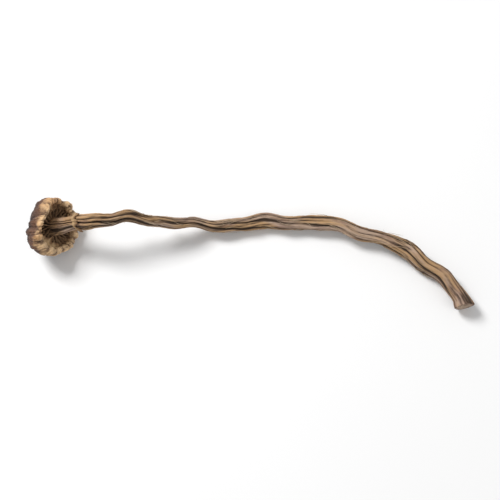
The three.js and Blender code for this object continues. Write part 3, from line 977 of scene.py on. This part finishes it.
def veil_material(flesh):
    """Dry papery veil, browner towards its torn edge."""
    material, graph = new_material("dried_veil")
    y, clouds = attribute(graph, "place"), graph.noise(object_place(graph), VEIL_CLOUDS)
    fibrils = graph.noise(skin_place(graph), VEIL_FIBRILS)
    coats = [
        (flesh.torn, y + 0.9 * (clouds - 0.5), 0.45, 1.05, 1.0),
        (flesh.torn, fibrils, 0.5, 0.32, 0.6),
        (flesh.light, fibrils, 0.55, 0.75, 0.5),
    ]
    return coated(material, flesh.sheet, coats, roughness=0.7, height=fibrils, depth=0.16)


def floor_material(stage):
    """Plain pale floor with the faintest unevenness."""
    material, graph = new_material("pale_floor")
    low = [value * FLOOR_DIM for value in stage.floor]
    clouds = graph.noise(object_place(graph), FLOOR_CLOUDS)
    return coated(material, low, [(stage.floor, clouds, 0.0, 1.0, 1.0)], roughness=0.6)


def lay_floor(stage):
    """A wide plain floor just under the mushroom."""
    half = FLOOR_HALF
    mesh = bpy.data.meshes.new("floor")
    corners = [(-half, -half, 0), (half, -half, 0), (half, half, 0), (-half, half, 0)]
    mesh.from_pydata(corners, [], [(0, 1, 2, 3)])
    mesh.materials.append(floor_material(stage))
    add("floor", mesh)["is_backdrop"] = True


def set_light():
    """Square soft lights that face the mushroom, one strong and one weak, in a pale surround."""
    for name, place, size, watts in LIGHTS:
        light = bpy.data.lights.new(name, "AREA")
        light.size = size
        light.energy = watts
        lamp = add(name, light)
        lamp.location = place
        lamp.rotation_euler = Vector(place).to_track_quat("Z", "Y").to_euler()
    world = bpy.data.worlds.new("surround")
    world.use_nodes = True
    background = world.node_tree.nodes["Background"]
    background.inputs["Color"].default_value = (1.0, 1.0, 1.0, 1.0)
    background.inputs["Strength"].default_value = SURROUND
    bpy.context.scene.world = world
    bpy.context.scene.view_settings.view_transform = "Standard"


def place_camera(stage):
    """A long lens that looks down on the mushroom, with the cap on the left."""
    low, high = (Vector(corner) for corner in CAD_BOX)
    camera = bpy.data.cameras.new("camera")
    camera.lens = stage.lens
    distance = (high.x - low.x) / stage.fill * camera.lens / camera.sensor_width
    direction = Vector((0, -math.cos(stage.elevation), math.sin(stage.elevation)))
    rig = add("camera", camera)
    rig.location = (low + high) / 2 + direction * distance
    rig.rotation_euler = direction.to_track_quat("Z", "Y").to_euler()
    bpy.context.scene.camera = rig


def tint(name, default):
    """A colour setting."""
    words = f"Colour of the {name.lower()}"
    return FloatVectorProperty(name=name, description=words, default=default, subtype="COLOR", min=0, max=1)


def number(name, default, description, **more):
    """A setting that is one number."""
    return FloatProperty(name=name, description=description, default=default, **more)


def length(name, default, description):
    """A length setting, given here in mm, that can be doubled."""
    size = default * MM
    return number(name, size, description, min=0.0, max=2 * size, unit="LENGTH", precision=5)


def measures(settings, *wanted):
    """The sizes among the settings, or only those wanted, by their names and with their lengths in mm.

    Colours are arrays, and are left out.
    """
    sizes = {}
    for word in wanted or settings.__annotations__:
        setting = settings.bl_rna.properties[word]
        if not setting.is_array:
            value = getattr(settings, word)
            sizes[setting.name] = value / MM if setting.unit == "LENGTH" else value
    return sizes


class MushroomStem(bpy.types.PropertyGroup):
    """Sizes and colours of the stem."""

    sides: IntProperty(name="Sides", description="Points round the stem", default=160, min=32, max=168)
    twist: number("Twist", 3.6, "Turn of the pleats from the cap to the base", unit="ROTATION")
    flatness: number("Flatness", 0.12, "How far the stem has flattened", subtype="FACTOR", min=0, max=0.4)
    pleat_depth: length("Pleat Depth", 0.52, "Depth of the long pleats")
    crease_depth: length("Crease Depth", 0.2, "Depth of the branching creases")
    fine_crease_depth: length("Fine Crease Depth", 0.1, "Depth of the fine creases")
    cut_slant: length("Cut Slant", 1.1, "How far the cut base leans out on one side")
    cut_dish: length("Cut Dish", 0.6, "How far the pith has dried back inside the rind")
    ridge: tint("Ridges", (0.43, 0.305, 0.225))
    gold: tint("Golden Stretches", (0.465, 0.285, 0.14))
    # Colour of the grooves, which stands partly for painted shade
    groove: tint("Grooves", (0.05, 0.03, 0.018))
    stain: tint("Purple-Brown Stains", (0.18, 0.1, 0.08))
    light: tint("Palest Fibres", (0.64, 0.51, 0.39))


class MushroomFibres(bpy.types.PropertyGroup):
    """Number, sizes and colours of the loose fibres."""

    count: IntProperty(name="Count", description="Loose fibres on the stem", default=90, min=1, max=400)
    seed: IntProperty(name="Seed", description="Seed of their places and shapes", default=3, min=0)
    length: length("Length", 5.0, "Length of the longest")
    thickness: length("Thickness", 0.15, "Thickness near the root")
    lift: length("Lift", 0.5, "How far the tips stand off the stem")
    root: tint("Roots", (0.36, 0.26, 0.16))
    tip: tint("Tips", (0.55, 0.42, 0.29))


class MushroomCap(bpy.types.PropertyGroup):
    """Sizes and colours of the cap."""

    sides: IntProperty(name="Sides", description="Points round the cap", default=480, min=64, max=490)
    furrow_depth: length("Furrow Depth", 0.75, "Depth of the furrows on the flanks")
    pleat_depth: length("Pleat Depth", 0.28, "Depth of the margin's pleats")
    wrinkle_depth: length("Wrinkle Depth", 0.45, "Depth of the crown's wrinkles")
    crease_depth: length("Crease Depth", 0.26, "Depth of the branching creases")
    crazing_depth: length("Crazing Depth", 0.13, "Depth of the fine crossed creases")
    fine_crease_depth: length("Fine Crease Depth", 0.13, "Depth of the fine creases that leave the crown")
    crown: tint("Crown", (0.032, 0.018, 0.018))
    flank: tint("Flanks", (0.13, 0.058, 0.03))
    margin: tint("Rolled Margin", (0.74, 0.49, 0.26))
    # Paler inner lip, partly a painted highlight
    pale_lip_and_highlight: tint("Margin's Inner Lip", (0.8, 0.6, 0.38))
    russet: tint("Russet Patches", (0.5, 0.23, 0.075))
    plate: tint("Flesh over the Gills", (0.16, 0.09, 0.05))
    # Dark brown of the furrows, partly painted shade
    dark_furrow_and_shade: tint("Furrows", (0.04, 0.018, 0.011))


class MushroomGills(bpy.types.PropertyGroup):
    """Number, sizes and colours of the gills."""

    count: IntProperty(name="Count", description="Gills of all lengths", default=68, min=12, max=120)
    seed: IntProperty(name="Seed", description="Seed of the gills' unevenness", default=7, min=0)
    thickness: length("Thickness", 0.2, "Thickness at the root")
    root: tint("Roots", (0.1, 0.055, 0.03))
    edge: tint("Free Edges", (0.38, 0.235, 0.13))


class MushroomVeil(bpy.types.PropertyGroup):
    """Sizes and colours of the veil and of the ring."""

    root_thickness: length("Root Thickness", 0.55, "Thickness at the margin")
    edge_thickness: length("Edge Thickness", 0.14, "Thickness at the torn edge")
    ring_flare: length("Ring Flare", 0.45, "How far the ring stands off the stem")
    sheet: tint("Dry Sheet", (0.5, 0.34, 0.18))
    torn: tint("Torn Edge", (0.2, 0.105, 0.05))
    light: tint("Palest Fibrils", (0.66, 0.5, 0.31))


class MushroomStage(bpy.types.PropertyGroup):
    """The floor, the light and the camera."""

    floor: tint("Floor", (0.9, 0.9, 0.9))
    elevation: number("Elevation", math.radians(72), "Angle of the camera above the floor", unit="ROTATION")
    lens: number("Lens", 90.0, "Focal length", min=20, unit="CAMERA")
    fill: number("Fill", 0.9, "Share of the frame's width that the mushroom takes", subtype="FACTOR")


class MUSHROOM_OT_stem(bpy.types.Operator):
    """Build the pleated stem with its cut base"""

    bl_idname = "mushroom.stem"
    bl_label = "Build Stem"

    def execute(self, context):
        stem = context.scene.mushroom_stem
        sizes = measures(stem) | {"Skin": stem_material(stem), "Pith": pith_material(stem)}
        grow("stem", stem_rail(), stem_tree(sizes), sizes)
        return {"FINISHED"}


class MUSHROOM_OT_fibres(bpy.types.Operator):
    """Build the loose fibres on the stem"""

    bl_idname = "mushroom.fibres"
    bl_label = "Build Loose Fibres"

    def execute(self, context):
        stem, fibres = context.scene.mushroom_stem, context.scene.mushroom_fibres
        skin = measures(stem, "twist", "flatness", "pleat_depth", "crease_depth", "fine_crease_depth")
        sizes = skin | measures(fibres) | {"Flesh": fibre_material(fibres)}
        grow("fibres", stem_rail(), fibre_tree(sizes), sizes)
        return {"FINISHED"}


class MUSHROOM_OT_cap(bpy.types.Operator):
    """Build the furrowed cap with its rolled margin"""

    bl_idname = "mushroom.cap"
    bl_label = "Build Cap"

    def execute(self, context):
        cap = context.scene.mushroom_cap
        sizes = measures(cap) | {"Skin": cap_material(cap)}
        grow("cap", cap_rail(), cap_tree(sizes), sizes)
        return {"FINISHED"}


class MUSHROOM_OT_gills(bpy.types.Operator):
    """Build the gills under the cap"""

    bl_idname = "mushroom.gills"
    bl_label = "Build Gills"

    def execute(self, context):
        gills = context.scene.mushroom_gills
        sizes = measures(gills) | {"Flesh": gill_material(gills)}
        grow("gills", rail("gill_rail", [(0, 0, 0)]), gill_tree(sizes), sizes)
        return {"FINISHED"}


class MUSHROOM_OT_veil(bpy.types.Operator):
    """Build the torn veil and the ring on the stem"""

    bl_idname = "mushroom.veil"
    bl_label = "Build Veil and Ring"

    def execute(self, context):
        stem, veil = context.scene.mushroom_stem, context.scene.mushroom_veil
        flesh = {"Flesh": veil_material(veil)}
        start, end, reach = zip(*VEIL_FLAPS)
        flaps = rail("veil_rail", [(0, 0, 0)] * len(VEIL_FLAPS), start=start, end=end, reach=reach)
        sizes = measures(veil, "root_thickness", "edge_thickness") | flesh
        grow("veil", flaps, veil_tree(sizes), sizes)
        sizes = measures(stem, "twist", "flatness", "pleat_depth") | measures(veil, "ring_flare") | flesh
        grow("ring", stem_rail(), ring_tree(sizes), sizes)
        return {"FINISHED"}


class MUSHROOM_OT_stage(bpy.types.Operator):
    """Lay the floor, set the lights and place the camera"""

    bl_idname = "mushroom.stage"
    bl_label = "Set Stage"

    def execute(self, context):
        stage = context.scene.mushroom_stage
        lay_floor(stage)
        set_light()
        place_camera(stage)
        return {"FINISHED"}


class MUSHROOM_PT_panel(bpy.types.Panel):
    """Lists the pieces of the mushroom"""

    bl_idname = "MUSHROOM_PT_panel"
    bl_label = "Dried Mushroom"
    bl_space_type = "VIEW_3D"
    bl_region_type = "UI"
    bl_category = "Mushroom"

    def draw(self, context):
        for operator, word, _ in PIECES:
            box = self.layout.box()
            box.operator(operator.bl_idname)
            settings = getattr(context.scene, word)
            for setting in settings.__annotations__:
                box.prop(settings, setting)


PIECES = (
    (MUSHROOM_OT_stage, "mushroom_stage", MushroomStage),
    (MUSHROOM_OT_stem, "mushroom_stem", MushroomStem),
    (MUSHROOM_OT_fibres, "mushroom_fibres", MushroomFibres),
    (MUSHROOM_OT_cap, "mushroom_cap", MushroomCap),
    (MUSHROOM_OT_gills, "mushroom_gills", MushroomGills),
    (MUSHROOM_OT_veil, "mushroom_veil", MushroomVeil),
)


def register():
    """Registers the settings, the operators and the panel."""
    for operator, word, group in PIECES:
        bpy.utils.register_class(group)
        setattr(bpy.types.Scene, word, PointerProperty(type=group))
        bpy.utils.register_class(operator)
    bpy.utils.register_class(MUSHROOM_PT_panel)


def unregister():
    """Takes away what register added."""
    bpy.utils.unregister_class(MUSHROOM_PT_panel)
    for operator, word, group in reversed(PIECES):
        bpy.utils.unregister_class(operator)
        delattr(bpy.types.Scene, word)
        bpy.utils.unregister_class(group)


def main():
    """Builds every piece and the stage."""
    register()
    bpy.ops.mushroom.stage()
    bpy.ops.mushroom.stem()
    bpy.ops.mushroom.fibres()
    bpy.ops.mushroom.cap()
    bpy.ops.mushroom.gills()
    bpy.ops.mushroom.veil()
    boxes = {"cad": CAD_BOX, "visual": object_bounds()}
    plain = {word: [[float(x) for x in corner] for corner in box] for word, box in boxes.items()}


if __name__ == "__main__":
    main()
